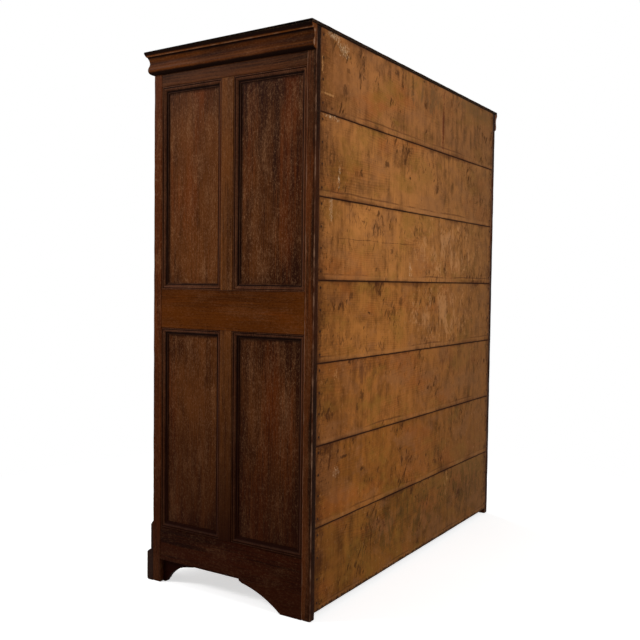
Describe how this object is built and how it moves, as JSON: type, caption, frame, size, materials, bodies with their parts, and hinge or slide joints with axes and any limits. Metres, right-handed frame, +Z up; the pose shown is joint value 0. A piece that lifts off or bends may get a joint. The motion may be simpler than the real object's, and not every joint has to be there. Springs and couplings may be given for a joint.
{
  "type": "cupboard",
  "caption": "Tall pine cupboard with panelled doors and ends, a moulded cornice, an arched base and a back of wide horizontal boards.",
  "frame": {"origin": "on the floor, midway between the two ends and midway between the knob's tip and the back face", "axes": "+Z up, -Y towards the front with the doors, +X towards the right-hand end as seen from the front"},
  "size_m": [1.527, 0.679, 1.8],
  "materials": {
    "stained_pine": "worn dark red-brown stain, satin",
    "stained_panels": "worn dark red-brown stain, satin",
    "stained_cornice": "worn brown stain, satin",
    "back_pine": "bare aged boards, matt",
    "inside_pine": "bare, matt",
    "turned_wood": "polished",
    "old_iron": "dull, aged",
    "bolt_brass": "dull"
  },
  "bodies": {
    "carcase": {"back_nails": "old_iron", "base_moulding": "stained_pine", "bottom_board": "inside_pine", "end_brackets": "stained_pine", "fifth_back_board": "back_pine", "fourth_back_board": "back_pine", "front_bottom_rail": "stained_pine", "front_cornice": "stained_cornice", "front_plinth": "stained_pine", "front_top_rail": "stained_pine", "left_cornice": "stained_cornice", "left_end_bottom_rail": "stained_pine", "left_end_middle_rail": "stained_pine", "left_end_mouldings": "stained_pine", "left_end_muntins": "stained_pine", "left_end_panels": "stained_panels", "left_end_top_rail": "stained_pine", "left_front_post": "stained_pine", "left_rear_stile": "stained_pine", "lower_shelf": "inside_pine", "lowest_back_board": "back_pine", "middle_shelf": "inside_pine", "post_hinge_leaves": "old_iron", "right_cornice": "stained_cornice", "right_end_bottom_rail": "stained_pine", "right_end_middle_rail": "stained_pine", "right_end_mouldings": "stained_pine", "right_end_muntins": "stained_pine", "right_end_panels": "stained_panels", "right_end_top_rail": "stained_pine", "right_front_post": "stained_pine", "right_rear_stile": "stained_pine", "second_back_board": "back_pine", "shelf_bearers": "inside_pine", "sixth_back_board": "back_pine", "third_back_board": "back_pine", "top_back_board": "back_pine", "top_board": "stained_cornice", "upper_shelf": "inside_pine"},
    "left_door": {"bolt_plate": "old_iron", "left_door_bottom_rail": "stained_pine", "left_door_hinge_leaves": "old_iron", "left_door_hinge_stile": "stained_pine", "left_door_lock_rail": "stained_pine", "left_door_meeting_stile": "stained_pine", "left_door_mouldings": "stained_pine", "left_door_panels": "stained_panels", "left_door_top_rail": "stained_pine"},
    "right_door": {"door_knob": "turned_wood", "lock_case": "old_iron", "right_door_bottom_rail": "stained_pine", "right_door_hinge_leaves": "old_iron", "right_door_hinge_stile": "stained_pine", "right_door_lock_rail": "stained_pine", "right_door_meeting_stile": "stained_pine", "right_door_mouldings": "stained_pine", "right_door_panels": "stained_panels", "right_door_top_rail": "stained_pine"},
    "lock_bolt": {"lock_bolt": "bolt_brass"},
    "door_bolt": {"door_bolt": "old_iron"}
  },
  "joints": [
    {"name": "left_door_hinge", "type": "hinge", "parent": "carcase", "child": "left_door", "pos_m": [-0.6758, -0.3098, 0], "axis": [0, 0, -1], "range_deg": [0, 170]},
    {"name": "right_door_hinge", "type": "hinge", "parent": "carcase", "child": "right_door", "pos_m": [0.6758, -0.3098, 0], "axis": [0, 0, 1], "range_deg": [0, 170]},
    {"name": "lock_bolt_slide", "type": "slide", "parent": "right_door", "child": "lock_bolt", "axis": [-1, 0, 0], "range_m": [0, 0.01]},
    {"name": "tower_bolt_slide", "type": "slide", "parent": "left_door", "child": "door_bolt", "axis": [0, 0, 1], "range_m": [0, 0.014]}
  ]
}
